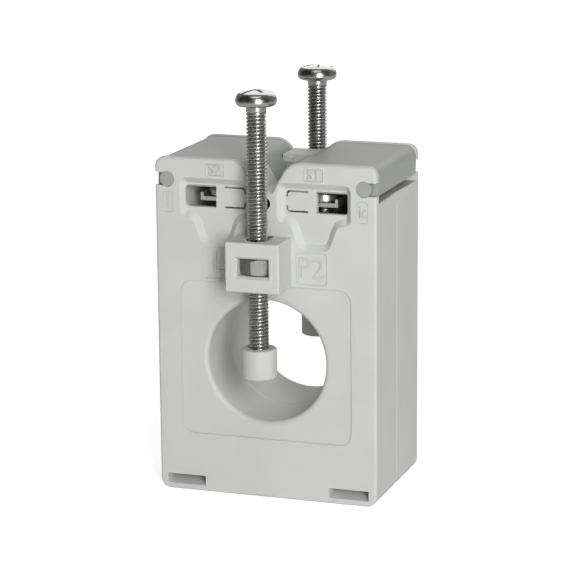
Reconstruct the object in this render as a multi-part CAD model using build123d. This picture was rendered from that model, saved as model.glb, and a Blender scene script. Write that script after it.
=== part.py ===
from build123d import *
import math
import os

# Window-type current transformer with two conductor clamp screws and two hinged terminal covers.
# Millimetres. X runs across the front, Y from front to rear, Z up. The origin is under the middle
# of the housing, on the surface that it stands on.

# Housing
body_depth = 28.6
wall = 1.8
foot_thickness = 5.2
chamber_depth = 8.8
lip_rise = 6.0
joint_before_middle = 0.9
joint_edge = 0.15
foot_corner_radius = 2.2
lip_corner_radius = 1.9
face_edge_radius = 0.6

# Primary bore
bore_radius = 12.1
bore_rim_radius = 0.9
bore_tube_wall = 1.6
panel_from_side = 5.0
panel_below_bore = 15.7
panel_corner_radius = 2.5
panel_depth = 0.2

# Core, its case, the winding and the leads. The housing is as wide as these make it.
core_thickness = 3.75
winding_side_gap = 0.3
winding_floor_gap = 2.0
winding_deck_gap = 2.4
winding_end_gap = 0.4
winding_tube_gap = 0.25
winding_thickness = 0.9
winding_edge_radius = 0.7
winding_slot_angle = 12.0
case_wall = 0.35
core_play = 0.1
lead_radius = 0.5
lead_hole_radius = 0.65
lead_bend = 0.6
lead_from_chamber_side = 0.8
lead_from_middle = 1.6
lead_gap = 0.15
lead_under_bar = 1.2

# Lips and the valley between the two covers
lip_thickness = 1.5
shoulder_radius = 4.0
valley_floor_half = 1.36
valley_lean = 30.4
valley_wall = 1.2
valley_wall_rise = 3.4
valley_wall_depth = 11.9
bridge_rise = 3.9
bridge_depth = 7.6
bridge_gap = 0.2
bridge_rib_width = 2.0
bridge_rib_depth = 0.7
bridge_rib_low = 2.4
bridge_rib_drop = 0.6

# Terminal chambers behind the front and rear walls
chamber_from_middle = 2.8
chamber_from_side = 5.9
terminal_off_middle = 0.3
chamber_divider = 1.3
deck_thickness = 1.8
chamber_wall = 2.4
side_pocket_roof = 1.8
cavity_corner_radius = 3.0
spine_floor_thickness = 1.2

# Recess round each wire window
recess_past_chamber = (0.2, 0.8)
recess_above_rim = 2.2
recess_box_height = 7.9
funnel_height = 5.2
recess_depth = 1.2
recess_slope = 45.0
recess_corner_radius = 1.3
funnel_top_half = 4.75
funnel_bottom_half = 3.0
funnel_corner_radius = 2.3
funnel_shoulder_radius = 1.7
window_in_chamber = (1.3, 0.1)
window_height = 4.3
window_above_rim = 0.6
window_corner_radius = 0.8
tab_width = 6.1
tab_slot = 0.36
tab_bridge = 1.7

# Vent, slots and sunk label fields of the front face
vent_radius = 1.25
vent_below_rim = 2.1
foot_slot_from_side = 1.6
foot_slot_length = 8.0
foot_slot_bottom = 1.2
foot_slot_height = 2.0
foot_slot_depth = 3.8
foot_slot_rise = 0.9
label_depth = 0.15
bore_label_x = 9.5
bore_label_above_block_bottom = 3.65
bore_label_size = (6.3, 6.3, 0.8)
lip_label_below_top = 2.15
lip_label_size = (3.8, 2.4, 0.5)
side_label_from_side = 2.75
side_label_below_rim = 2.8
side_label_size = (2.1, 4.2, 0.6)

# Covers and their pins
pin_radius = 1.5
pin_clearance = 0.06
pin_from_side = 2.55
pin_above_rim = 1.65
mouth_height = 2.6
hinge_relief = 2.9
lug_radius = 2.1
cover_wall = 1.2
cover_drop = 0.25
cover_side_gap = 0.15
cover_gap = 0.2
cover_above_rim = 0.25
finger_notch_depth = 0.45
finger_notch_height = 2.05
finger_notch_end_depth = 0.02
finger_notch_end_height = 0.2

# Conductor clamp screws with nut, block and cap
clamp_offset = 3.8
clamp_screw_radius = 1.95
clamp_screw_length = 50.0
clamp_tip_chamfer = 0.4
clamp_head_radius = 3.95
clamp_head_height = 3.0
clamp_head_dome = 1.6
clamp_head_lift = 11.4
thread_clearance = 0.05
nut_across_flats = 6.0
nut_height = 3.2
nut_turn = 26.0
nut_clearance = 0.1
nut_side_clearance = 0.15
nut_above_block_bottom = 4.8
nut_chamfer_height = 0.3
nut_chamfer_reach = 0.55
block_side_wall = 2.3
block_front_wall = 0.6
block_above_bore = 3.2
block_height = 9.7
block_edge_radius = 0.35
block_hole_clearance = 0.2
block_slot_width = 3.9
window_flare = 0.4
cap_radius = 3.5
cap_height = 5.8
cap_grip = 3.0
cap_edge_radius = 0.4
cap_flat = 0.25
cap_bore_clearance = 0.06
recess_cross_width = 1.0
recess_cross_length = 4.6
recess_slot_length = 6.6
recess_cross_depth = 1.7
recess_slot_depth = 1.0

# Secondary terminals
terminal_screw_radius = 1.95
terminal_head_radius = 3.3
terminal_head_height = 1.8
terminal_head_edge = 0.4
terminal_opening = 2.15
terminal_travel = 1.9
terminal_tip_gap = 0.3
saddle_head_gap = 0.1
saddle_thickness = 0.8
saddle_rim_height = 1.6
saddle_rim_thickness = 0.6
saddle_gap = 0.05
saddle_end_gap = 0.3
bar_above_floor = 2.4
bar_thickness = 1.6
bar_end_gap = 0.5
bar_edge = 0.3
bar_seat_width = 1.4
bar_seat_from_middle = 3.0

# How far a cutter reaches past the surface that it opens, and how far a joined piece goes in
past = 1.0
bite = 0.1

# Radii that follow, from the bore outwards, and half lengths, from the end walls inwards
winding_inner = bore_radius + bore_tube_wall + winding_tube_gap
case_inner = winding_inner + winding_thickness
core_inner = case_inner + case_wall + core_play
core_outer = core_inner + core_thickness
case_outer = core_outer + core_play + case_wall
winding_outer = case_outer + winding_thickness
pocket_outer = winding_outer + winding_side_gap
half_width = pocket_outer + wall
half_depth = body_depth / 2
winding_half = half_depth - wall - winding_end_gap
case_half = winding_half - winding_thickness
core_half = case_half - case_wall - core_play

# Heights that follow, from the foot up
bore_height = foot_thickness + winding_floor_gap + winding_outer
deck_underside = bore_height + winding_outer + winding_deck_gap
chamber_floor = deck_underside + deck_thickness
rim_height = chamber_floor + chamber_depth
lip_height = rim_height + lip_rise
pin_height = rim_height + pin_above_rim
bar_bottom = chamber_floor + bar_above_floor
side_top = pin_height - hinge_relief
block_bottom = bore_height + bore_radius + block_above_bore
block_top = block_bottom + block_height
nut_middle = block_bottom + nut_above_block_bottom
clamp_head_underside = lip_height + clamp_head_lift
clamp_tip = clamp_head_underside - clamp_screw_length
saddle_bottom = bar_bottom + bar_thickness + terminal_opening
saddle_top = saddle_bottom + saddle_thickness
terminal_head_underside = saddle_top + saddle_gap
terminal_head_top = terminal_head_underside + terminal_head_height
terminal_tip = chamber_floor + terminal_travel + terminal_tip_gap

# Places that follow across the width and the depth
pin_x = half_width - pin_from_side
chamber_inner = chamber_from_middle
chamber_outer = half_width - chamber_from_side
divider_outer = chamber_outer + chamber_divider
terminal_x = (chamber_inner + chamber_outer) / 2 + terminal_off_middle
recess_inner = chamber_inner - recess_past_chamber[0]
recess_outer = chamber_outer + recess_past_chamber[1]
window_inner = chamber_inner + window_in_chamber[0]
window_outer = chamber_outer - window_in_chamber[1]
window_top = rim_height + window_above_rim
window_bottom = window_top - window_height
tab_edge = window_inner + tab_width
nut_pocket_half = nut_across_flats / 2 + nut_side_clearance
block_half = nut_pocket_half + block_side_wall
block_reach = clamp_offset + nut_across_flats / 2 + block_front_wall
saddle_half = terminal_head_radius + saddle_head_gap
saddle_outer = saddle_half + saddle_rim_thickness
terminal_y = half_depth - chamber_wall - saddle_end_gap - saddle_half
lead_x = chamber_inner + lead_from_chamber_side
lean = math.tan(math.radians(valley_lean))


def valley_x(height):
    """Half width of the valley between the covers at a height above the rim."""
    return valley_floor_half + (height - rim_height) * lean


def slab(outline, y_front, y_rear):
    """Solid of a front-view outline between two depths."""
    return extrude(Plane.XZ.offset(-y_rear) * outline, amount=y_rear - y_front)


def block(x_low, x_high, y_low, y_high, z_low, z_high):
    """Box between two corners."""
    size = (x_high - x_low, y_high - y_low, z_high - z_low)
    middle = ((x_low + x_high) / 2, (y_low + y_high) / 2, (z_low + z_high) / 2)
    return Pos(*middle) * Box(*size)


def rod_y(x, z, radius, y_low, y_high):
    """Round bar that lies front to rear."""
    return Pos(x, (y_low + y_high) / 2, z) * Rot(90, 0, 0) * Cylinder(radius, y_high - y_low)


def rod_z(x, y, radius, z_low, z_high):
    """Upright round bar."""
    return Pos(x, y, (z_low + z_high) / 2) * Cylinder(radius, z_high - z_low)


def polygon(points):
    """Face through the points."""
    return make_face(Polyline(*points, close=True))


def rounded(face, corners):
    """Face with each listed corner, given as x, z and radius, rounded."""
    for x, z, radius in corners:
        vertex = face.vertices().sort_by_distance(Vector(x, z, 0))[0]
        face = fillet(vertex, radius)
    return face


def both_sides(shape):
    """The shape and its mirror image across the middle of the width."""
    return shape + mirror(shape, about=Plane.YZ)


# Outlines seen from the front

def end_wall_outline(centre_height):
    """Outline of an end wall: two lips with a valley of the given floor height between them."""
    inner_top = valley_x(lip_height)
    inner_low = valley_x(centre_height)
    right = [(half_width, 0), (half_width, lip_height),
             (inner_top, lip_height), (inner_low, centre_height)]
    left = [(-x, z) for x, z in reversed(right)]
    corners = []
    for side in (-1, 1):
        corners.append((side * half_width, 0, foot_corner_radius))
        corners.append((side * half_width, lip_height, lip_corner_radius))
        corners.append((side * inner_top, lip_height, shoulder_radius))
    return rounded(polygon(right + left), corners)


def trunk_outline():
    """Outline of the housing below its rim."""
    high = rim_height
    face = polygon([(-half_width, 0), (half_width, 0), (half_width, high), (-half_width, high)])
    return rounded(face, [(side * half_width, 0, foot_corner_radius) for side in (-1, 1)])


def recess_outline():
    """Recess round a wire window: a rounded box that runs out below into a funnel."""
    left, right = recess_inner, recess_outer
    top = rim_height + recess_above_rim
    shoulder = top - recess_box_height
    bottom = shoulder - funnel_height
    mouth = [terminal_x - funnel_top_half, terminal_x + funnel_top_half]
    floor = [terminal_x - funnel_bottom_half, terminal_x + funnel_bottom_half]
    points = [(left, top), (right, top), (right, shoulder), (mouth[1], shoulder),
              (floor[1], bottom), (floor[0], bottom), (mouth[0], shoulder), (left, shoulder)]
    corners = [(x, z, recess_corner_radius) for x in (left, right) for z in (top, shoulder)]
    corners += [(x, shoulder, funnel_shoulder_radius) for x in mouth]
    corners += [(x, bottom, funnel_corner_radius) for x in floor]
    return rounded(polygon(points), corners)


def window_outline(inset=0.0):
    """Rounded wire window, made smaller all round by the inset."""
    middle = ((window_inner + window_outer) / 2, (window_bottom + window_top) / 2)
    size = (window_outer - window_inner - 2 * inset, window_height - 2 * inset)
    return Pos(*middle) * RectangleRounded(*size, window_corner_radius - inset)


# Shells

def wire_window():
    """Cutter for one recess with its open half window and the thin slots round the knock-out tab."""
    face_plane = Plane(origin=(0, -half_depth, 0), x_dir=(-1, 0, 0), z_dir=(0, 1, 0))
    recess = extrude(face_plane * recess_outline().mirror(Plane.YZ), amount=recess_depth, taper=recess_slope)
    inside = -half_depth + chamber_wall + past
    opening = slab(window_outline(), -half_depth, inside)
    tab = slab(window_outline(tab_slot), -half_depth, inside) & block(
        window_inner, tab_edge, -half_depth, inside, window_bottom, window_top)
    middle = (window_bottom + window_top) / 2
    side_bridge = block(window_inner, window_inner + past, -half_depth, inside,
                        middle - tab_bridge / 2, middle + tab_bridge / 2)
    end_bridge = block(tab_edge - tab_bridge, tab_edge, -half_depth, inside, window_bottom, window_top)
    return recess + (opening - tab - side_bridge - end_bridge)


def nut_block():
    """Block in front of the wall that carries the hex nut of a clamp screw."""
    front = -half_depth - block_reach
    root = -half_depth + wall / 2
    outline = polygon([(-block_half, root), (-block_half, front), (block_half, front), (block_half, root)])
    outline = rounded(outline, [(side * block_half, front, block_edge_radius) for side in (-1, 1)])
    solid = Pos(0, 0, block_bottom) * extrude(outline, amount=block_height)
    faces = solid.faces().sort_by(Axis.Z)
    rims = [edge for edge in faces[0].edges() + faces[-1].edges() if edge.center().Y < root - bite]
    return fillet(rims, block_edge_radius)


def nut_pocket():
    """Cutter for the nut seat, the flared window, the screw hole and the slot behind the screw."""
    axis_y = -half_depth - clamp_offset
    seat_half_height = nut_height / 2 + nut_clearance
    seat_front = -half_depth - block_reach + block_front_wall
    inside = -half_depth + wall + bite
    seat = block(-nut_pocket_half, nut_pocket_half, seat_front, inside,
                 nut_middle - seat_half_height, nut_middle + seat_half_height)
    mouth_plane = Plane(origin=(0, seat_front, nut_middle), x_dir=(1, 0, 0), z_dir=(0, -1, 0))
    mouth = extrude(mouth_plane * Rectangle(2 * nut_pocket_half, 2 * seat_half_height),
                    amount=block_front_wall + bite,
                    taper=-math.degrees(math.atan(window_flare / block_front_wall)))
    hole = rod_z(0, axis_y, clamp_screw_radius + block_hole_clearance, block_bottom - past, block_top + past)
    slot = block(-block_slot_width / 2, block_slot_width / 2, axis_y, inside, nut_middle, block_top)
    return seat + mouth + hole + slot


def hinge_notch():
    """Cutter for the round seat of a cover pin and its mouth to the side."""
    y_low, y_high = -half_depth - past, -half_depth + lip_thickness
    seat = rod_y(pin_x, pin_height, pin_radius + pin_clearance, y_low, y_high)
    mouth = block(pin_x, half_width + past, y_low, y_high,
                  pin_height - mouth_height / 2, pin_height + mouth_height / 2)
    return seat + mouth


def cavity(depth):
    """Hollow for the core, with pockets beside the terminal chambers."""
    y_low, y_high = -half_depth + wall, -half_depth + depth
    pocket_top = side_top - side_pocket_roof
    right = [(pocket_outer, foot_thickness), (pocket_outer, pocket_top), (divider_outer, pocket_top),
             (divider_outer, deck_underside)]
    left = [(-x, z) for x, z in reversed(right)]
    corners = [(side * pocket_outer, foot_thickness, cavity_corner_radius) for side in (-1, 1)]
    hollow = slab(rounded(polygon(right + left), corners), y_low, y_high)
    return hollow - rod_y(0, bore_height, bore_radius + bore_tube_wall, y_low, y_high)


def foot_slot():
    """Cutter for a slot near the foot, whose floor rises inwards."""
    low, high = foot_slot_bottom, foot_slot_bottom + foot_slot_height
    front, back = -half_depth, -half_depth + foot_slot_depth
    section = polygon([(front, low), (back, low + foot_slot_rise), (back, high), (front, high)])
    inner = half_width - foot_slot_from_side - foot_slot_length
    return extrude(Plane.YZ.offset(inner) * section, amount=foot_slot_length)


def label_fields():
    """Cutters for the sunk fields of the letters beside the bore, on the lip and at the side."""
    places = ((bore_label_x, block_bottom + bore_label_above_block_bottom, bore_label_size),
              (terminal_x, lip_height - lip_label_below_top, lip_label_size),
              (half_width - side_label_from_side, rim_height - side_label_below_rim, side_label_size))
    cutters = [slab(Pos(x, z) * RectangleRounded(*size), -half_depth, -half_depth + label_depth)
               for x, z, size in places]
    return cutters[0] + cutters[1] + cutters[2]


def finger_notch(depth):
    """Shallow wedge cut in the top of a side wall, deepest where the shells meet."""
    out, high = half_width + past, side_top
    sections = []
    for y, height, deep in ((-half_depth + depth, finger_notch_height, finger_notch_depth),
                            (-half_depth + lip_thickness, finger_notch_end_height, finger_notch_end_depth)):
        plane = Plane(origin=(0, y, 0), x_dir=(1, 0, 0), z_dir=(0, -1, 0))
        low = high - height
        section = polygon([(half_width, low), (out, low), (out, high), (half_width - deep, high)])
        sections.append(plane * section)
    return loft([section.face() for section in sections], ruled=True)


def half_shell(depth, centre_height):
    """Shell whose face is at the front, cut off at the given depth behind it."""
    face_y, split_y = -half_depth, -half_depth + depth
    shell = slab(end_wall_outline(centre_height), face_y, face_y + lip_thickness)
    shell += slab(trunk_outline(), face_y, split_y)
    joint_rim = shell.faces().sort_by(Axis.Y)[-1].outer_wire().edges()
    shell = chamfer([edge for edge in joint_rim if edge.center().Z < rim_height - bite], joint_edge)
    rim = shell.faces().sort_by(Axis.Y)[0].outer_wire().edges()
    shell = fillet(rim, face_edge_radius)
    shell += nut_block()
    # Hollows
    shell -= cavity(depth)
    chamber_y = face_y + chamber_wall
    shell -= both_sides(block(chamber_inner, chamber_outer, chamber_y, split_y,
                              chamber_floor, rim_height + past))
    spine_half = chamber_inner - valley_wall
    shell -= block(-spine_half, spine_half, face_y + wall, split_y,
                   chamber_floor, rim_height - spine_floor_thickness)
    shell -= both_sides(block(divider_outer, half_width + past, face_y + lip_thickness, split_y,
                              side_top, rim_height + past))
    # Bore and face
    panel_height = block_bottom - (bore_height - panel_below_bore)
    panel = RectangleRounded(2 * (half_width - panel_from_side), panel_height, panel_corner_radius)
    shell -= slab(Pos(0, block_bottom - panel_height / 2) * panel, face_y, face_y + panel_depth)
    shell -= rod_y(0, bore_height, bore_radius, face_y - past, split_y)
    circles = [e for e in shell.edges().filter_by(GeomType.CIRCLE) if abs(e.radius - bore_radius) < bite]
    circles.sort(key=lambda edge: edge.center().Y)
    shell = fillet(circles[0], bore_rim_radius)
    circles = [e for e in shell.edges().filter_by(GeomType.CIRCLE) if abs(e.radius - bore_radius) < bite]
    circles.sort(key=lambda edge: edge.center().Y)
    shell = chamfer(circles[-1], joint_edge)
    shell -= both_sides(wire_window())
    shell -= both_sides(foot_slot())
    shell -= both_sides(label_fields())
    shell -= rod_y(0, rim_height - vent_below_rim, vent_radius, face_y - past, face_y + wall + bite)
    shell -= nut_pocket()
    shell -= both_sides(hinge_notch())
    shell -= both_sides(finger_notch(depth))
    # Seat of the terminal bar
    seat_y = -bar_seat_from_middle
    shell += both_sides(block(terminal_x - saddle_outer, terminal_x + saddle_outer,
                              seat_y - bar_seat_width, seat_y, chamber_floor - bite, bar_bottom))
    return shell


def front_shell():
    """Front half with the leaning walls of the valley."""
    shell = half_shell(half_depth - joint_before_middle, rim_height)
    top = rim_height + valley_wall_rise
    high = valley_x(top)
    walls = slab(polygon([(valley_floor_half, rim_height), (high, top), (high + valley_wall, top),
                          (valley_floor_half + valley_wall, rim_height)]),
                 -half_depth + lip_thickness, -half_depth + valley_wall_depth)
    return shell + both_sides(walls)


def rear_shell():
    """Rear half with the bridge that closes the valley, turned to face the rear."""
    top = rim_height + bridge_rise
    shell = half_shell(half_depth + joint_before_middle, top)
    back = -half_depth + bridge_depth
    half = valley_x(top) - bridge_gap
    shell += block(-half, half, -half_depth + lip_thickness, back, rim_height - bite, top)
    rib_x = half - bridge_rib_width - bridge_gap
    shell += both_sides(block(rib_x, rib_x + bridge_rib_width, back - bite, back + bridge_rib_depth,
                              rim_height + bridge_rib_low, top - bridge_rib_drop))
    shell -= both_sides(rod_z(lead_x, -lead_from_middle, lead_hole_radius, deck_underside - bite,
                              chamber_floor + bite))
    return mirror(shell, about=Plane.XZ)


# Covers

def cover_outline(inset, bottom):
    """Section of the right cover, made smaller by the inset on its three walls."""
    outer = half_width - cover_side_gap - inset
    top = lip_height - cover_drop - inset
    shift = inset / math.cos(math.radians(valley_lean))
    inner_top = valley_x(top) + shift
    inner_low = valley_x(bottom) + shift
    face = polygon([(outer, bottom), (outer, top), (inner_top, top), (inner_low, bottom)])
    corners = [(outer, top, lip_corner_radius - inset), (inner_top, top, shoulder_radius - inset)]
    return rounded(face, corners)


def right_cover():
    """Cap over the right terminal, with hinge pins at both ends and a tongue down the valley."""
    end = half_depth - lip_thickness - cover_side_gap
    skirt = rim_height + cover_above_rim
    cap = slab(cover_outline(0, skirt), -end, end)
    cap -= slab(cover_outline(cover_wall, skirt - past), -end + cover_wall, end - cover_wall)
    # Room for the valley walls in front and for the bridge behind
    front_limit = -half_depth + valley_wall_depth + cover_gap
    wall_top = rim_height + valley_wall_rise
    cap -= block(0, valley_x(wall_top) + valley_wall + cover_gap, -end - past, front_limit,
                 skirt - past, wall_top + cover_gap)
    rear_limit = half_depth - bridge_depth - bridge_rib_depth - cover_gap
    bridge_top = rim_height + bridge_rise
    cap -= block(0, valley_x(bridge_top), rear_limit, end + past, skirt - past, bridge_top + cover_gap)
    for side in (-1, 1):
        y_wall = sorted((side * end, side * (end - cover_wall)))
        y_pin = sorted((side * (end - cover_wall), side * (half_depth - cover_side_gap)))
        cap += rod_y(pin_x, pin_height, lug_radius, *y_wall)
        cap += rod_y(pin_x, pin_height, pin_radius, *y_pin)
    return cap


# Clamp screws

def head_recess(z_top, x, y):
    """Cutter for a combined slot and cross in a screw head."""
    half, arm = recess_cross_width / 2, recess_cross_length / 2
    cutter = block(x - recess_slot_length / 2, x + recess_slot_length / 2, y - half, y + half,
                   z_top - recess_slot_depth, z_top + past)
    for along_x, along_y in ((arm, half), (half, arm)):
        cutter += block(x - along_x, x + along_x, y - along_y, y + along_y,
                        z_top - recess_cross_depth, z_top + past)
    return cutter


def clamp_screw(y):
    """Pan head screw standing in the nut."""
    head_top = clamp_head_underside + clamp_head_height
    head = rod_z(0, y, clamp_head_radius, clamp_head_underside, head_top)
    head = fillet(head.faces().sort_by(Axis.Z)[-1].edges(), clamp_head_dome)
    head -= head_recess(head_top, 0, y)
    shank = rod_z(0, y, clamp_screw_radius, clamp_tip, clamp_head_underside)
    return chamfer(shank.faces().sort_by(Axis.Z)[0].edges(), clamp_tip_chamfer) + head


def clamp_nut(y, turn):
    """Hex nut in the pocket of its block, chamfered on both sides."""
    corner = nut_across_flats / math.sqrt(3)
    bottom, top = nut_middle - nut_height / 2, nut_middle + nut_height / 2
    prism = Pos(0, y, bottom) * Rot(0, 0, turn) * extrude(RegularPolygon(corner, 6), amount=nut_height)
    crown = rod_z(0, y, corner, bottom, top)
    crown = chamfer(crown.edges().filter_by(GeomType.CIRCLE), nut_chamfer_height, nut_chamfer_reach)
    return (prism & crown) - rod_z(0, y, clamp_screw_radius + thread_clearance, bottom - past, top + past)


def screw_cap(y):
    """Insulating cap pushed over the tip of a clamp screw."""
    top = clamp_tip + cap_grip
    bottom = top - cap_height
    cap = rod_z(0, y, cap_radius, bottom, top)
    cap = fillet(cap.edges().filter_by(GeomType.CIRCLE), cap_edge_radius)
    cap -= block(-cap_radius - past, -cap_radius + cap_flat, y - cap_radius, y + cap_radius,
                 bottom - past, top + past)
    return cap - rod_z(0, y, clamp_screw_radius + cap_bore_clearance, clamp_tip - cap_bore_clearance,
                       top + past)


# Secondary terminals

def terminal_bar(side):
    """Plated bar through a chamber, with a threaded hole under each terminal screw."""
    x = side * terminal_x
    reach = half_depth - chamber_wall - bar_end_gap
    top = bar_bottom + bar_thickness
    bar = block(x - saddle_outer, x + saddle_outer, -reach, reach, bar_bottom, top)
    bar = chamfer(bar.edges().filter_by(Axis.X), bar_edge)
    for y in (-terminal_y, terminal_y):
        bar -= rod_z(x, y, terminal_screw_radius + thread_clearance, bar_bottom - past, top + past)
    return bar


def saddle(x, y):
    """Clamp plate under a terminal screw, with its two sides turned up."""
    y_low, y_high = y - saddle_half, y + saddle_half
    plate = block(x - saddle_outer, x + saddle_outer, y_low, y_high, saddle_bottom, saddle_top)
    for side in (-1, 1):
        edge = sorted((x + side * saddle_half, x + side * saddle_outer))
        plate += block(*edge, y_low, y_high, saddle_bottom, saddle_bottom + saddle_rim_height)
    return plate - rod_z(x, y, terminal_screw_radius + thread_clearance,
                         saddle_bottom - past, saddle_top + past)


def terminal_screw(x, y):
    """Cheese head screw with a slot and cross."""
    head = rod_z(x, y, terminal_head_radius, terminal_head_underside, terminal_head_top)
    head = fillet(head.faces().sort_by(Axis.Z)[-1].edges(), terminal_head_edge)
    head -= head_recess(terminal_head_top, x, y)
    return head + rod_z(x, y, terminal_screw_radius, terminal_tip, terminal_head_underside)


# Core and winding

def ring(inner, outer, y_low, y_high):
    """Plain ring round the bore."""
    hole = rod_y(0, bore_height, inner, y_low - past, y_high + past)
    return rod_y(0, bore_height, outer, y_low, y_high) - hole


def core_case():
    """Open trough that holds the core."""
    trough = ring(case_inner, case_outer, -case_half, case_half - case_wall)
    return trough - ring(case_inner + case_wall, case_outer - case_wall, -case_half + case_wall, case_half)


def secondary_winding():
    """Winding round the case, with a narrow sector left open at the top where the leads come out."""
    body = ring(winding_inner, winding_outer, -winding_half, winding_half)
    body = fillet(body.edges().filter_by(GeomType.CIRCLE), winding_edge_radius)
    body -= ring(case_inner, case_outer, -case_half, case_half)
    half_slot = winding_outer * math.tan(math.radians(winding_slot_angle / 2))
    return body - block(-half_slot, half_slot, -winding_half - past, winding_half + past,
                        bore_height, bore_height + winding_outer + past)


def lead(side):
    """Insulated lead from the winding, up through the deck and under the terminal bar."""
    start = bore_height + math.sqrt(winding_outer ** 2 - lead_x ** 2) + lead_gap
    shelf = chamber_floor + lead_radius + lead_gap
    x = side * lead_x
    bar_x = side * (terminal_x - saddle_outer + lead_under_bar)
    y = lead_from_middle
    path = FilletPolyline((x, y, start), (x, y, shelf), (bar_x, y, shelf), (bar_x, y, bar_bottom),
                          radius=lead_bend)
    return sweep(Plane(origin=path @ 0, z_dir=path % 0) * Circle(lead_radius), path=path)


parts = {
    "front_shell": front_shell(),
    "rear_shell": rear_shell(),
    "right_cover": right_cover(),
    "core_ring": ring(core_inner, core_outer, -core_half, core_half),
    "core_case": core_case(),
    "core_case_lid": ring(case_inner, case_outer, case_half - case_wall, case_half),
    "secondary_winding": secondary_winding(),
}
parts["left_cover"] = mirror(parts["right_cover"], about=Plane.YZ)
for end_name, end_side in (("front", -1), ("rear", 1)):
    axis_y = end_side * (half_depth + clamp_offset)
    parts[end_name + "_clamp_screw"] = clamp_screw(axis_y)
    parts[end_name + "_nut"] = clamp_nut(axis_y, nut_turn)
    parts[end_name + "_screw_cap"] = screw_cap(axis_y)
    for name, side in (("s1", 1), ("s2", -1)):
        place = (side * terminal_x, end_side * terminal_y)
        parts[f"{name}_{end_name}_saddle"] = saddle(*place)
        parts[f"{name}_{end_name}_terminal_screw"] = terminal_screw(*place)
for name, side in (("s1", 1), ("s2", -1)):
    parts[name + "_terminal_bar"] = terminal_bar(side)
    parts[name + "_lead"] = lead(side)

os.makedirs("parts", exist_ok=True)
for node, shape in parts.items():
    solids = shape.solids()
    export_step(solids[0] if len(solids) == 1 else Compound(solids), f"parts/{node}.step")
    print(f"{node:26s} solids {len(solids)} volume {sum(s.volume for s in solids):9.1f}")
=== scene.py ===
import math

import bmesh
import bpy
import numpy as np
from mathutils import Matrix, Vector


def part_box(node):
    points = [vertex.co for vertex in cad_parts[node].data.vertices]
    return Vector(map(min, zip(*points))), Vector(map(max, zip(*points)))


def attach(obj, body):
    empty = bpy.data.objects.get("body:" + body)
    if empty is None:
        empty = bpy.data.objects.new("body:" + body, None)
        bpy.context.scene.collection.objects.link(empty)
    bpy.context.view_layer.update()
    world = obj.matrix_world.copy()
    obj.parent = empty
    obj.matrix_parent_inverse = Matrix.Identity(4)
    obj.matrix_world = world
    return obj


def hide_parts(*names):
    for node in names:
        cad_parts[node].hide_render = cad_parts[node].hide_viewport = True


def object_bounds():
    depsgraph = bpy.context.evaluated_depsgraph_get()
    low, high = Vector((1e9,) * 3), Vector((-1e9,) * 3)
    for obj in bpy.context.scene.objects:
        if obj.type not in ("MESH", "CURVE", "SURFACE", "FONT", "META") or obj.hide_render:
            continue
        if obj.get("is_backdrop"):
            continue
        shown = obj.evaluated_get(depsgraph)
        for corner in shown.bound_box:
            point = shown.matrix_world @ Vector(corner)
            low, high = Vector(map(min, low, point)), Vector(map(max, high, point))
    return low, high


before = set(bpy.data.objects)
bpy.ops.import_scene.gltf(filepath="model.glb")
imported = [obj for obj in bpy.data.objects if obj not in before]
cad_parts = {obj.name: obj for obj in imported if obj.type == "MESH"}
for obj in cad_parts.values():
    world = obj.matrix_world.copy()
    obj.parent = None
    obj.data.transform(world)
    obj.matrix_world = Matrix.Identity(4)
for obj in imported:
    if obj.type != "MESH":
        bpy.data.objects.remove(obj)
cad_box = [list(map(float, corner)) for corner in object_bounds()]
MM = 0.001


# Camera
# A long lens, a little above the middle of the housing and to its right. It stands where the
# perspective of the straight edges puts it, and its frame is the photograph's 575 by 576.
FRAME_HEIGHT_PX = 576
FOCAL_PX = 2429.867
CAMERA_AZIMUTH = 19.3019
CAMERA_ELEVATION = 13.0912
CAMERA_ROLL = -0.5006
CAMERA_DISTANCE = 466.953 * MM
CAMERA_TARGET = Vector((4.6073, -14.3, 42.6531)) * MM
SENSOR = 36.0


def camera_axes(azimuth, elevation, roll):
    """Right, up and backward directions of a camera that looks at its target from these angles."""
    a, e, r = (math.radians(angle) for angle in (azimuth, elevation, roll))
    back = Vector((math.sin(a) * math.cos(e), -math.cos(a) * math.cos(e), math.sin(e)))
    right = Vector((math.cos(a), math.sin(a), 0.0))
    up = back.cross(right)
    return right * math.cos(r) + up * math.sin(r), up * math.cos(r) - right * math.sin(r), back


right, up, back = camera_axes(CAMERA_AZIMUTH, CAMERA_ELEVATION, CAMERA_ROLL)
lens = bpy.data.cameras.new("camera")
lens.sensor_fit = "VERTICAL"
lens.sensor_height = SENSOR
lens.lens = FOCAL_PX / FRAME_HEIGHT_PX * SENSOR
lens.clip_start = 0.01
camera = bpy.data.objects.new("camera", lens)
bpy.context.scene.collection.objects.link(camera)
camera.matrix_world = Matrix.Translation(CAMERA_TARGET + back * CAMERA_DISTANCE) @ Matrix(
    (right, up, back)).transposed().to_4x4()
bpy.context.scene.camera = camera
bpy.context.scene.view_settings.view_transform = "Standard"


# Floor, backdrop and lamps
# A white sweep under and behind the part. The key is an upright soft box to the right of the camera,
# which draws the bright line down the screws. A weak one hangs overhead and a wide one stands behind.
FLOOR_SIZE = 6.0
FLOOR_WHITE = (0.93, 0.93, 0.93, 1.0)
FLOOR_GLOW = 0.62
FLOOR_GLOW_IN_METAL = 0.10
SHADOW_REACH = (0.45, 1.1)
ROOM_LEVEL = 0.10
ROOM_DARK = 0.03
SWEEP_LEVEL = 0.27


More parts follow.
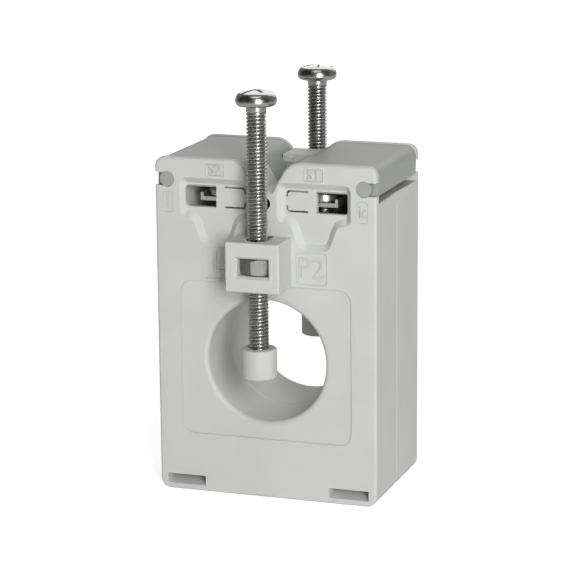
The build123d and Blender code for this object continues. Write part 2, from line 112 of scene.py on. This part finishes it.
class Wire:
    """A shader socket in an expression: each operator adds one Math node to the socket's own tree."""

    def __init__(self, socket):
        self.socket = socket
        self.tree = socket.id_data

    @staticmethod
    def add(tree, kind, settings=None, sockets=None, output=0):
        """Adds a node, with its settings first and then its sockets' values or wires; gives an output."""
        node = tree.nodes.new("ShaderNode" + kind)
        for name, value in (settings or {}).items():
            if name == "stops":
                ramp = node.color_ramp.elements
                while len(ramp) < len(value):
                    ramp.new(1.0)
                for element, (position, level) in zip(ramp, value):
                    element.position = position
                    element.color = (level, level, level, 1.0)
            else:
                setattr(node, name, value)
        for name, value in (sockets or {}).items():
            if isinstance(value, Wire):
                tree.links.new(value.socket, node.inputs[name])
            else:
                node.inputs[name].default_value = value
        return Wire(node.outputs[output])

    def math(self, operation, *values):
        """One Math node with this wire as its first value."""
        return Wire.add(self.tree, "Math", {"operation": operation}, dict(enumerate((self, *values))))

    def __add__(self, other):
        return self.math("ADD", other)

    def __sub__(self, other):
        return self.math("SUBTRACT", other)

    def __mul__(self, other):
        return self.math("MULTIPLY", other)

    def __truediv__(self, other):
        return self.math("DIVIDE", other)

    def __rsub__(self, other):
        return Wire.add(self.tree, "Math", {"operation": "SUBTRACT"}, {0: other, 1: self})

    __radd__ = __add__
    __rmul__ = __mul__

    def clamp(self):
        """The wire held between 0 and 1."""
        return Wire.add(self.tree, "Clamp", None, {0: self})

    def step(self, low, high):
        """0 below the low value, 1 above the high one, and a smooth rise between."""
        return Wire.add(self.tree, "MapRange", {"interpolation_type": "SMOOTHSTEP"},
                        {"Value": self, "From Min": low, "From Max": high})


def blend_colours(amount, colour_a, colour_b):
    """Mix of two colours or colour wires by a wire."""
    return Wire.add(amount.tree, "Mix", {"data_type": "RGBA"}, {0: amount, 6: colour_a, 7: colour_b}, 2)


world = bpy.data.worlds.new("studio")
bpy.context.scene.world = world
world.use_nodes = True
tree = world.node_tree
tree.nodes.clear()
ray = {name: Wire.add(tree, "LightPath", output=name) for name in ("Is Camera Ray", "Is Glossy Ray")}
direction = Wire.add(tree, "TexCoord", output="Generated")
depth = Wire.add(tree, "SeparateXYZ", None, {0: direction}, 1)
height = Wire.add(tree, "SeparateXYZ", None, {0: direction}, 2)
# A mirror-like surface sees the dim end of the sweep behind and below the part, and a dark room in front
sweep = (depth.step(-0.25, 0.55) + (0.0 - height).step(-0.05, 0.35)).clamp()
seen = ROOM_DARK + (SWEEP_LEVEL - ROOM_DARK) * sweep
level = ROOM_LEVEL + ray["Is Glossy Ray"] * (seen - ROOM_LEVEL)
level = level + ray["Is Camera Ray"] * (1.0 - level)
sky = Wire.add(tree, "Background", None, {"Color": (1.0, 1.0, 1.0, 1.0), "Strength": level})
tree.links.new(sky.socket, tree.nodes.new("ShaderNodeOutputWorld").inputs[0])


def start_finish(name):
    """New material with a Principled shader: gives its tree, the shader and a wire of Object coordinates."""
    material = bpy.data.materials.new(name)
    material.use_nodes = True
    shader = material.node_tree.nodes["Principled BSDF"]
    place = Wire.add(material.node_tree, "TexCoord", output="Object")
    return material, material.node_tree, shader, place


def feed(shader, **values):
    """Sets or links the shader's sockets; an underscore in a name stands for a space."""
    for name, value in values.items():
        socket = shader.inputs[name.replace("_", " ")]
        if isinstance(value, Wire):
            value.tree.links.new(value.socket, socket)
        else:
            socket.default_value = value


def sheet_grid(rows, columns, closed=False):
    """Corner numbers of the quads of a grid of points, joined round its columns if it is closed."""
    row = np.arange(rows - 1)[:, None]
    column = np.arange(columns if closed else columns - 1)[None, :]
    after = (column + 1) % columns
    corners = (row * columns + column, row * columns + after,
               (row + 1) * columns + after, (row + 1) * columns + column)
    return np.stack(np.broadcast_arrays(*corners), -1).reshape(-1, 4)


def add_mesh(name, points, faces, finish):
    """Object at the origin from an array of points and the corner numbers of its faces."""
    mesh = bpy.data.meshes.new(name)
    mesh.from_pydata(points.reshape(-1, 3).tolist(), [], [tuple(face) for face in faces])
    mesh.materials.append(finish)
    mesh.validate()
    piece = bpy.data.objects.new(name, mesh)
    bpy.context.scene.collection.objects.link(piece)
    return piece


material, tree, shader, place = start_finish("sweep_white")
mottle = Wire.add(tree, "TexNoise", None, {"Vector": place, "Scale": 3.0, "Detail": 2.0})
ray = {name: Wire.add(tree, "LightPath", output=name) for name in ("Is Camera Ray", "Is Glossy Ray")}
distance = Wire.add(tree, "VectorMath", {"operation": "LENGTH"}, {0: place}, "Value")
# Beyond the shadow's reach the floor glows up to full white, as the lamps don't light it that far
white = FLOOR_GLOW + (1.0 - FLOOR_GLOW) * distance.step(*SHADOW_REACH)
glow = (ray["Is Camera Ray"] * white + ray["Is Glossy Ray"] * FLOOR_GLOW_IN_METAL).clamp()
glow_colour = blend_colours(glow, (0.0, 0.0, 0.0, 1.0), (1.0, 1.0, 1.0, 1.0))
feed(shader, Base_Color=blend_colours(mottle, FLOOR_WHITE, (0.94, 0.94, 0.94, 1.0)), Roughness=0.9,
     Specular_IOR_Level=0.0, Emission_Color=glow_colour, Emission_Strength=1.0)
side = np.linspace(-FLOOR_SIZE / 2, FLOOR_SIZE / 2, 3)
floor_points = np.stack([*np.meshgrid(side, side), np.zeros((3, 3))], -1)
floor = add_mesh("floor", floor_points, sheet_grid(3, 3), material)
floor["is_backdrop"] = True


def soft_box(name, place, aim, width, height, watts):
    """Rectangular lamp that faces a point."""
    lamp = bpy.data.lights.new(name, "AREA")
    lamp.shape = "RECTANGLE"
    lamp.size, lamp.size_y, lamp.energy = width, height, watts
    box = bpy.data.objects.new(name, lamp)
    bpy.context.scene.collection.objects.link(box)
    box.location = place
    box.rotation_euler = (Vector(aim) - Vector(place)).to_track_quat("-Z", "Y").to_euler()


AIM = (0.0, 0.0, 0.04)
soft_box("key_box", (0.47, -0.70, 0.20), AIM, 0.26, 0.6, 7.2)
soft_box("top_box", (0.10, -0.35, 0.85), AIM, 0.6, 0.5, 1.25)
soft_box("rear_box", (-0.03, 0.77, 0.55), AIM, 1.0, 0.75, 3.5)


# Housing shells
# Two glass-filled polyamide mouldings that meet on a plane across the bore. They come off a spark
# eroded tool, so every face has the same fine matte grain.
HOUSING_LIGHT = (0.585, 0.592, 0.570, 1.0)
HOUSING_DARK = (0.562, 0.570, 0.548, 1.0)
GRAIN_PER_METRE = 5200.0


def moulded_plastic(name, light, dark, roughness, grain_depth):
    """Matte moulded plastic: two near tones in soft clouds, and a fine grain in bump and roughness."""
    material, tree, shader, place = start_finish(name)
    cloud = Wire.add(tree, "TexNoise", None, {"Vector": place, "Scale": 90.0, "Detail": 3.0})
    grain = Wire.add(tree, "TexNoise", None, {"Vector": place, "Scale": GRAIN_PER_METRE, "Detail": 2.0})
    pits = Wire.add(tree, "TexVoronoi", None, {"Vector": place, "Scale": GRAIN_PER_METRE * 0.6})
    relief = grain * 0.7 + pits * 0.3
    bump = Wire.add(tree, "Bump", None, {"Height": relief, "Strength": 0.35, "Distance": grain_depth})
    feed(shader, Base_Color=blend_colours(cloud.step(0.3, 0.7), dark, light),
         Roughness=roughness + (grain - 0.5) * 0.16, Normal=bump, Specular_IOR_Level=0.25)
    return material


def dress(node, material):
    """Gives a carried-over part its finish."""
    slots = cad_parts[node].data.materials
    slots.clear()
    slots.append(material)


housing_plastic = moulded_plastic("housing_plastic", HOUSING_LIGHT, HOUSING_DARK, 0.50, 0.00004)
for node in ("front_shell", "rear_shell"):
    dress(node, housing_plastic)


# Terminal covers
# Two caps in the same plastic from another tool, a clear step darker than the shells, so that the
# parting lines and the ends of their pins stand out.
COVER_LIGHT = (0.350, 0.360, 0.343, 1.0)
COVER_DARK = (0.334, 0.344, 0.327, 1.0)
cover_plastic = moulded_plastic("cover_plastic", COVER_LIGHT, COVER_DARK, 0.46, 0.00003)
for node in ("right_cover", "left_cover"):
    dress(node, cover_plastic)


# Core, its case, the winding and its leads
# A tape-wound ring of electrical steel in a thin nylon case, wound with enamelled copper wire whose
# ends run up in red sleeves to the terminal bars. All of it is closed in by the shells.
BORE_AXIS = (0.0, 0.0, 0.0276)
TAPE_PER_METRE = 3300.0
WIRE_TURNS = 240


def about_bore(tree, place):
    """Object coordinates with their middle on the axis of the bore."""
    return Wire.add(tree, "VectorMath", {"operation": "SUBTRACT"}, {0: place, 1: BORE_AXIS})


def bore_angle_and_radius(tree, place):
    """Angle round the bore's axis and distance from it."""
    centred = about_bore(tree, place)
    across, up_axis = (Wire.add(tree, "SeparateXYZ", None, {0: centred}, i) for i in (0, 2))
    return across.math("ARCTAN2", up_axis), (across * across + up_axis * up_axis).math("SQRT")


material, tree, shader, place = start_finish("wound_steel")
angle, radius = bore_angle_and_radius(tree, place)
tape = (radius * (TAPE_PER_METRE * 2 * math.pi)).math("SINE") * 0.5 + 0.5
bump = Wire.add(tree, "Bump", None, {"Height": tape, "Strength": 0.5, "Distance": 0.00005})
feed(shader, Base_Color=blend_colours(tape, (0.22, 0.23, 0.25, 1.0), (0.36, 0.37, 0.39, 1.0)),
     Metallic=0.9, Roughness=0.35 + 0.15 * tape, Normal=bump)
dress("core_ring", material)

natural_nylon = moulded_plastic("natural_nylon", (0.70, 0.68, 0.60, 1.0), (0.66, 0.64, 0.56, 1.0),
                                0.4, 0.00002)
for node in ("core_case", "core_case_lid"):
    dress(node, natural_nylon)

material, tree, shader, place = start_finish("enamelled_copper")
angle, radius = bore_angle_and_radius(tree, place)
turns = (angle * WIRE_TURNS).math("SINE") * 0.5 + 0.5
drift = Wire.add(tree, "TexNoise", None, {"Vector": place, "Scale": 300.0, "Detail": 2.0})
bump = Wire.add(tree, "Bump", None, {"Height": turns, "Strength": 0.8, "Distance": 0.00015})
feed(shader, Base_Color=blend_colours(drift, (0.50, 0.17, 0.06, 1.0), (0.66, 0.27, 0.11, 1.0)),
     Metallic=0.7, Roughness=0.25 + 0.2 * turns, Coat_Weight=0.3, Normal=bump)
dress("secondary_winding", material)

red_sleeve = moulded_plastic("red_sleeve", (0.56, 0.06, 0.04, 1.0), (0.46, 0.04, 0.03, 1.0), 0.35, 0.00002)
for node in ("s1_lead", "s2_lead"):
    dress(node, red_sleeve)


# Terminal bars and saddles
# Nickel-plated brass bars lie through both chambers. Zinc-plated steel saddles with turned-up sides
# press the wires on to them, and both have fine ridges across that bite into the strands.
RIDGES_PER_METRE = 1500.0


def ridged_metal(name, light, dark, roughness):
    """Plated sheet metal with ridges along X, and scratches drawn out along the same way."""
    material, tree, shader, place = start_finish(name)
    along = Wire.add(tree, "SeparateXYZ", None, {0: place}, 1)
    ridge = (along * (RIDGES_PER_METRE * 2 * math.pi)).math("SINE") * 0.5 + 0.5
    drawn = Wire.add(tree, "Mapping", None, {"Vector": place, "Scale": (400.0, 9000.0, 3000.0)})
    scratch = Wire.add(tree, "TexNoise", None, {"Vector": drawn, "Scale": 1.0, "Detail": 3.0})
    relief = ridge + scratch * 0.2
    bump = Wire.add(tree, "Bump", None, {"Height": relief, "Strength": 0.6, "Distance": 0.0001})
    feed(shader, Base_Color=blend_colours(scratch, dark, light), Metallic=1.0,
         Roughness=roughness + scratch * 0.2, Normal=bump)
    return material


nickel_brass = ridged_metal("nickel_brass", (0.72, 0.70, 0.64, 1.0), (0.60, 0.58, 0.52, 1.0), 0.18)
saddle_zinc = ridged_metal("saddle_zinc", (0.66, 0.66, 0.64, 1.0), (0.50, 0.50, 0.49, 1.0), 0.22)
for side_name in ("s1", "s2"):
    dress(side_name + "_terminal_bar", nickel_brass)
    for end_name in ("front", "rear"):
        dress(f"{side_name}_{end_name}_saddle", saddle_zinc)


# Clamp screws
# M4 by 50 pan head machine screws in bright zinc plate: a rolled thread that fades out under the
# head, and a domed head with a slot and a cross struck into it.
PITCH = 0.7 * MM
THREAD_DEPTH = 0.38 * MM
CREST = 0.30
ROWS_PER_PITCH = 12
THREAD_COLUMNS = 44
HEAD_COLUMNS = 180
THREAD_RADIUS = 1.95 * MM
THREAD_IN_HEAD = 0.2 * MM
NECK = 1.0 * MM
CROSS = {"reach": 2.15 * MM, "half_width": 0.42 * MM, "wall": 0.22 * MM, "depth": 1.5 * MM}
SLOT = {"short_of_rim": 0.75 * MM, "half_width": 0.40 * MM, "wall": 0.15 * MM, "depth": 0.7 * MM}


def zinc_plate(name, light, dark, roughness):
    """Bright zinc: mottled tone, fine scratches in all directions and dull specks in the roughness."""
    material, tree, shader, place = start_finish(name)
    mottle = Wire.add(tree, "TexNoise", None, {"Vector": place, "Scale": 500.0, "Detail": 3.0})
    speck = Wire.add(tree, "TexVoronoi", None, {"Vector": place, "Scale": 2600.0})
    rough = roughness + mottle.step(0.35, 0.75) * 0.08 + (1.0 - speck.step(0.0, 0.35)) * 0.04
    bump = Wire.add(tree, "Bump", None, {"Height": mottle, "Strength": 0.08, "Distance": 0.00002})
    feed(shader, Base_Color=blend_colours(mottle.step(0.3, 0.7), dark, light), Metallic=1.0,
         Roughness=rough, Normal=bump)
    return material


bright_zinc = zinc_plate("bright_zinc", (0.47, 0.47, 0.455, 1.0), (0.38, 0.38, 0.37, 1.0), 0.24)


def rolled_thread(x, y, z_low, z_high, radius, neck):
    """Shank from tip to head: radius less a V of one pitch, on a sheet whose rows climb with the thread.

    A point's height is tip + pitch * (row / rows per pitch + angle / turn), held between tip and
    head, so each row stays at one depth of the V: the distance of row / rows per pitch from its
    nearest whole number, less the crest. The V fades in at the tip and out under the head."""
    turns = math.ceil((z_high - z_low) / PITCH) + 1
    step = (np.arange(turns * ROWS_PER_PITCH + 1) / ROWS_PER_PITCH - 1.0)[:, None]
    angle = np.linspace(0.0, 2 * np.pi, THREAD_COLUMNS + 1)[None, :]
    z = np.clip(z_low + PITCH * (step + angle / (2 * np.pi)), z_low, z_high)
    groove = np.clip(1.0 - np.abs(step - np.round(step)) / (0.5 - CREST / 2), 0.0, 1.0)
    fade = np.clip((z_high - neck - z) / (1.5 * PITCH), 0.0, 1.0)
    tip = np.clip((z - z_low) / (0.6 * PITCH), 0.0, 1.0)
    r = radius - THREAD_DEPTH * np.maximum(groove * fade, 0.95 * (1.0 - tip))
    points = np.stack(np.broadcast_arrays(x + r * np.cos(angle), y + r * np.sin(angle), z), -1)
    low = np.broadcast_to(np.array([x, y, z_low]), (1, THREAD_COLUMNS + 1, 3))
    high = np.broadcast_to(np.array([x, y, z_high]), (1, THREAD_COLUMNS + 1, 3))
    return np.concatenate([low, points, high])


def struck_head(x, y, z_low, radius, height, crown, lower_round, upper_round, turn):
    """Screw head: underside, lower round, oval shoulder and crown, with a cross and slot sunk in it.

    Each row is one point of the profile turned round the axis. The recess lowers the crown where
    the distance to the nearest arm of the cross, or to the slot, is negative."""
    quarter = np.linspace(0.0, np.pi / 2, 12)
    side = height - crown
    r = np.concatenate([
        np.linspace(0.0, radius - lower_round, 6)[:-1],
        radius - lower_round + lower_round * np.sin(quarter),
        radius - upper_round + upper_round * np.cos(quarter[1:]),
        np.linspace(radius - upper_round, 0.0, 70)[1:]])
    z = np.concatenate([
        np.zeros(5),
        lower_round - lower_round * np.cos(quarter),
        lower_round + (side - lower_round) * np.sin(quarter[1:]),
        side + crown * (1.0 - np.linspace(1.0, 0.0, 70)[1:] ** 2)])
    angle = np.linspace(0.0, 2 * np.pi, HEAD_COLUMNS, endpoint=False)[None, :]
    r, z = r[:, None], z[:, None]
    across, along = r * np.cos(angle - turn), r * np.sin(angle - turn)
    arm = np.minimum(np.maximum(np.abs(across) - CROSS["reach"], np.abs(along) - CROSS["half_width"]),
                     np.maximum(np.abs(along) - CROSS["reach"], np.abs(across) - CROSS["half_width"]))
    slot_end = radius - SLOT["short_of_rim"]
    slot = np.maximum(np.abs(across) - slot_end, np.abs(along) - SLOT["half_width"])
    sunk = np.maximum(np.clip(-arm / CROSS["wall"], 0.0, 1.0) * CROSS["depth"],
                      np.clip(-slot / SLOT["wall"], 0.0, 1.0) * SLOT["depth"])
    on_top = z >= side * 0.98
    z = z_low + z - np.where(on_top, sunk, 0.0)
    return np.stack(np.broadcast_arrays(x + r * np.cos(angle), y + r * np.sin(angle), z), -1)


def screw_piece(name, body, node, thread, head, finish):
    """One mesh of a thread and a head, in place of the plain screw."""
    rows, columns = head.shape[:2]
    thread_faces = sheet_grid(*thread.shape[:2])
    head_faces = sheet_grid(rows, columns, closed=True) + thread.shape[0] * thread.shape[1]
    points = np.concatenate([thread.reshape(-1, 3), head.reshape(-1, 3)])
    piece = add_mesh(name, points, np.concatenate([thread_faces, head_faces]), finish)
    join_poles(piece)
    piece.data.shade_smooth()
    piece.data.set_sharp_from_angle(angle=math.radians(50))
    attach(piece, body)
    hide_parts(node)
    return piece


def join_poles(piece):
    """Merges the points that meet at a pole or a seam."""
    work = bmesh.new()
    work.from_mesh(piece.data)
    bmesh.ops.remove_doubles(work, verts=work.verts, dist=2e-6)
    bmesh.ops.recalc_face_normals(work, faces=work.faces)
    work.to_mesh(piece.data)
    work.free()


CLAMP_HEAD = {"radius": 3.95 * MM, "height": 3.0 * MM, "crown": 0.45 * MM,
              "lower_round": 0.9 * MM, "upper_round": 1.15 * MM}
for end_name, turn in (("front", math.radians(52)), ("rear", math.radians(20))):
    low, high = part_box(end_name + "_clamp_screw")
    x, y = (low.x + high.x) / 2, (low.y + high.y) / 2
    underside = high.z - CLAMP_HEAD["height"]
    thread = rolled_thread(x, y, low.z, underside + THREAD_IN_HEAD, THREAD_RADIUS, NECK)
    head = struck_head(x, y, underside, turn=turn, **CLAMP_HEAD)
    screw_piece(end_name + "_screw", end_name + "_clamp_screw_body", end_name + "_clamp_screw",
                thread, head, bright_zinc)


# Nuts
# Plain M4 nuts, loose in the pockets of their blocks, with the corners turned off at both faces.
# They are sheared from bar and tumbled, so their flats are dull and carry faint upright streaks.
NUT_BORE = 2.0 * MM
FACE_CIRCLE = 0.95
CHAMFER_SLOPE = math.tan(math.radians(30))
COLUMNS_PER_FLAT = 24


def turned_nut(node, finish):
    """Hex nut in place of the plain one, turned as that one is.

    At an angle the flat lies at flat / cos(angle from the middle of its side), and at a depth
    below a face the cone lies at face circle + depth / slope. The radius is the smaller one."""
    low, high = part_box(node)
    x, y = (low.x + high.x) / 2, (low.y + high.y) / 2
    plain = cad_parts[node]
    spots = np.array([plain.matrix_world @ vertex.co for vertex in plain.data.vertices])
    away = np.hypot(spots[:, 0] - x, spots[:, 1] - y)
    corner, farthest = away.max(), spots[away.argmax()]
    flat = corner * math.cos(math.pi / 6)
    angle = np.linspace(0.0, 2 * np.pi, 6 * COLUMNS_PER_FLAT, endpoint=False)[None, :]
    hexagon = flat / np.cos(angle % (np.pi / 3) - np.pi / 6)
    depth = np.linspace(0.0, (corner - FACE_CIRCLE * flat) * CHAMFER_SLOPE, 14)[:, None]
    cone = np.minimum(hexagon, FACE_CIRCLE * flat + depth / CHAMFER_SLOPE)
    bore = np.full_like(hexagon, NUT_BORE)
    r = np.concatenate([bore, cone, cone[::-1], bore, bore])
    z = np.concatenate([[[low.z]], low.z + depth, high.z - depth[::-1], [[high.z]], [[low.z]]])
    turned = angle + math.atan2(farthest[1] - y, farthest[0] - x)
    points = np.stack(np.broadcast_arrays(x + r * np.cos(turned), y + r * np.sin(turned), z), -1)
    piece = add_mesh(node + "_turned", points, sheet_grid(*points.shape[:2], closed=True), finish)
    join_poles(piece)
    piece.data.shade_smooth()
    piece.data.set_sharp_from_angle(angle=math.radians(25))
    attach(piece, "housing")
    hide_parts(node)


material, tree, shader, place = start_finish("dull_nut_zinc")
streaks = Wire.add(tree, "Mapping", None, {"Vector": place, "Scale": (1500.0, 1500.0, 500.0)})
streak = Wire.add(tree, "TexNoise", None, {"Vector": streaks, "Scale": 1.0, "Detail": 3.0})
bump = Wire.add(tree, "Bump", None, {"Height": streak, "Strength": 0.2, "Distance": 0.00003})
tone = blend_colours(streak.step(0.3, 0.7), (0.20, 0.20, 0.195, 1.0), (0.30, 0.30, 0.29, 1.0))
feed(shader, Base_Color=tone, Metallic=1.0, Roughness=0.48 + streak * 0.15, Normal=bump)
for node in ("front_nut", "rear_nut"):
    turned_nut(node, material)


# Screw caps
# Insulating sleeves pushed over the tips of the clamp screws. They are a little smoother than the
# shells, with a flat down one side.
cap_plastic = moulded_plastic("cap_plastic", (0.565, 0.573, 0.550, 1.0), (0.543, 0.551, 0.528, 1.0),
                              0.46, 0.00002)
for node in ("front_screw_cap", "rear_screw_cap"):
    dress(node, cap_plastic)


# Terminal screws
# Short M4 screws with low flat heads, in the same zinc plate, standing in the threads of the bars
# with the saddles hung loosely under their heads.
TERMINAL_HEAD = {"radius": 3.3 * MM, "height": 1.8 * MM, "crown": 0.1 * MM,
                 "lower_round": 0.2 * MM, "upper_round": 0.4 * MM}
TERMINAL_NECK = 0.3 * MM
TERMINAL_TURNS = {("s1", "front"): 35, ("s1", "rear"): 80, ("s2", "front"): 115, ("s2", "rear"): 10}
for (side_name, end_name), degrees in TERMINAL_TURNS.items():
    stem = f"{side_name}_{end_name}_terminal_screw"
    low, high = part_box(stem)
    x, y = (low.x + high.x) / 2, (low.y + high.y) / 2
    underside = high.z - TERMINAL_HEAD["height"]
    thread = rolled_thread(x, y, low.z, underside + THREAD_IN_HEAD, THREAD_RADIUS, TERMINAL_NECK)
    head = struck_head(x, y, underside, turn=math.radians(degrees), **TERMINAL_HEAD)
    screw_piece(f"{side_name}_{end_name}_screw", stem + "_body", stem, thread, head, bright_zinc)


# Terminal marks
# The standard letters of a current transformer's terminals, raised a quarter of a millimetre in the
# sunk fields of the shells: P and L or K beside the bore, S above each window, k and l at the sides.
# Each field has a fine bead along its edge, and so has the panel round the bore.
MARK_RISE = 0.26 * MM
MARK_ROOT = 0.05 * MM
FIELD_DEPTH = 0.15 * MM
PIN_END_GAP = 0.15 * MM
FIELD_FLOOR = -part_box("right_cover")[0].y + PIN_END_GAP - FIELD_DEPTH
FRONT_MARKS = (("P2", 9.4, 46.65, 5.7), ("L", -9.5, 46.65, 5.7),
               ("S1", 10.0, 64.85, 2.8), ("S2", -10.0, 64.85, 2.8),
               ("k", 19.75, 58.2, 3.4), ("l", -19.75, 58.2, 3.4))
REAR_MARKS = (("P1", 9.4, 46.65, 5.7), ("K", -9.5, 46.65, 5.7),
              ("S2", 10.0, 64.85, 2.8), ("S1", -10.0, 64.85, 2.8),
              ("l", 19.75, 58.2, 3.4), ("k", -19.75, 58.2, 3.4))


# The letters and beads are the shells' own plastic. Their tone is painted a few percent darker as painted
# shade along the raised strokes and edges.
mark_plastic_painted_shade = moulded_plastic("mark_plastic_painted_shade", (0.552, 0.559, 0.537, 1.0), (0.530, 0.537, 0.516, 1.0),
                               0.45, 0.00001)


# Place across and up, width, height and corner radius of the fields on the right, in mm
FIELDS = ((9.5, 46.65, 6.3, 6.3, 0.8), (10.0, 64.85, 3.8, 2.4, 0.5), (19.75, 58.2, 2.1, 4.2, 0.6))
LEFT_FIELDS = tuple((-x, *rest) for x, *rest in FIELDS)
PANEL = (0.0, 27.4, 35.0, 31.0, 2.5)
RIM_HALF_WIDTH = 0.13 * MM
RIM_RISE = 0.22 * MM
CORNER_STEPS = 9
CORNER_SIGNS = (np.repeat([1, -1, -1, 1], CORNER_STEPS), np.repeat([1, 1, -1, -1], CORNER_STEPS))


def field_rims(name, facing, face_y):
    """Rounded beads along the edges of the fields and of the panel round the bore, as one mesh.

    A bead's path is a rectangle with arcs at its corners, so an offset from the path only changes
    the radius of the arcs. Its section is half an ellipse over the field's floor and half under."""
    quarter = np.linspace(0.0, np.pi / 2, CORNER_STEPS)
    around = np.concatenate([quarter + turn * np.pi / 2 for turn in range(4)])
    section = np.linspace(0.0, 2 * np.pi, 13)[:, None]
    swell = np.maximum(np.sin(section), 0.0) * RIM_RISE + np.minimum(np.sin(section), 0.0) * MARK_ROOT
    beads = []
    for x, z, width, height, radius in (*FIELDS, *LEFT_FIELDS, PANEL):
        reach = radius * MM - RIM_HALF_WIDTH * np.cos(section)
        across = CORNER_SIGNS[0] * (width / 2 - radius) * MM + reach * np.cos(around)
        upward = CORNER_SIGNS[1] * (height / 2 - radius) * MM + reach * np.sin(around) + z * MM
        parts = np.broadcast_arrays(x * MM + across, face_y + facing * swell, upward)
        beads.append(np.stack(parts, -1))
    rows, columns = beads[0].shape[:2]
    faces = [sheet_grid(rows, columns, closed=True) + number * rows * columns for number in range(len(beads))]
    piece = add_mesh(name, np.concatenate(beads), np.concatenate(faces), mark_plastic_painted_shade)
    join_poles(piece)
    piece.data.shade_smooth()
    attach(piece, "housing")


def raised_mark(name, text, x, z, size, facing, face_y):
    """Letters as a mesh, standing on a face that looks to the front (-1) or the rear (1)."""
    curve = bpy.data.curves.new(name, "FONT")
    curve.body = text
    curve.size = size * MM
    curve.align_x, curve.align_y = "CENTER", "CENTER"
    curve.extrude = (MARK_RISE + MARK_ROOT) / 2
    curve.offset = -0.012 * size * MM
    curve.bevel_depth = 0.03 * MM
    curve.bevel_resolution = 1
    holder = bpy.data.objects.new(name + "_outline", curve)
    bpy.context.scene.collection.objects.link(holder)
    bpy.context.view_layer.update()
    mesh = bpy.data.meshes.new_from_object(holder)
    bpy.data.objects.remove(holder)
    flat = np.zeros(len(mesh.vertices) * 3, np.float32)
    mesh.vertices.foreach_get("co", flat)
    flat = flat.reshape(-1, 3)
    middle = face_y + facing * (MARK_RISE - MARK_ROOT) / 2
    across, upward = -facing * (flat[:, 0] + x * MM), flat[:, 1] + z * MM
    placed = np.stack([across, middle + facing * flat[:, 2], upward], -1)
    mesh.vertices.foreach_set("co", placed.astype(np.float32).ravel())
    mesh.materials.clear()
    mesh.materials.append(mark_plastic_painted_shade)
    mesh.update()
    piece = bpy.data.objects.new(name, mesh)
    bpy.context.scene.collection.objects.link(piece)
    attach(piece, "housing")


for facing, marks, end_name in ((-1, FRONT_MARKS, "front"), (1, REAR_MARKS, "rear")):
    field_rims(end_name + "_field_rims", facing, facing * FIELD_FLOOR)
    for text, x, z, size in marks:
        case_name = "capital" if text.isupper() else "small"
        raised_mark(f"{end_name}_mark_{case_name}_{text}", text, x, z, size, facing, facing * FIELD_FLOOR)


size = {"cad_box": cad_box, "visual_box": [list(map(float, corner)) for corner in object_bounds()]}
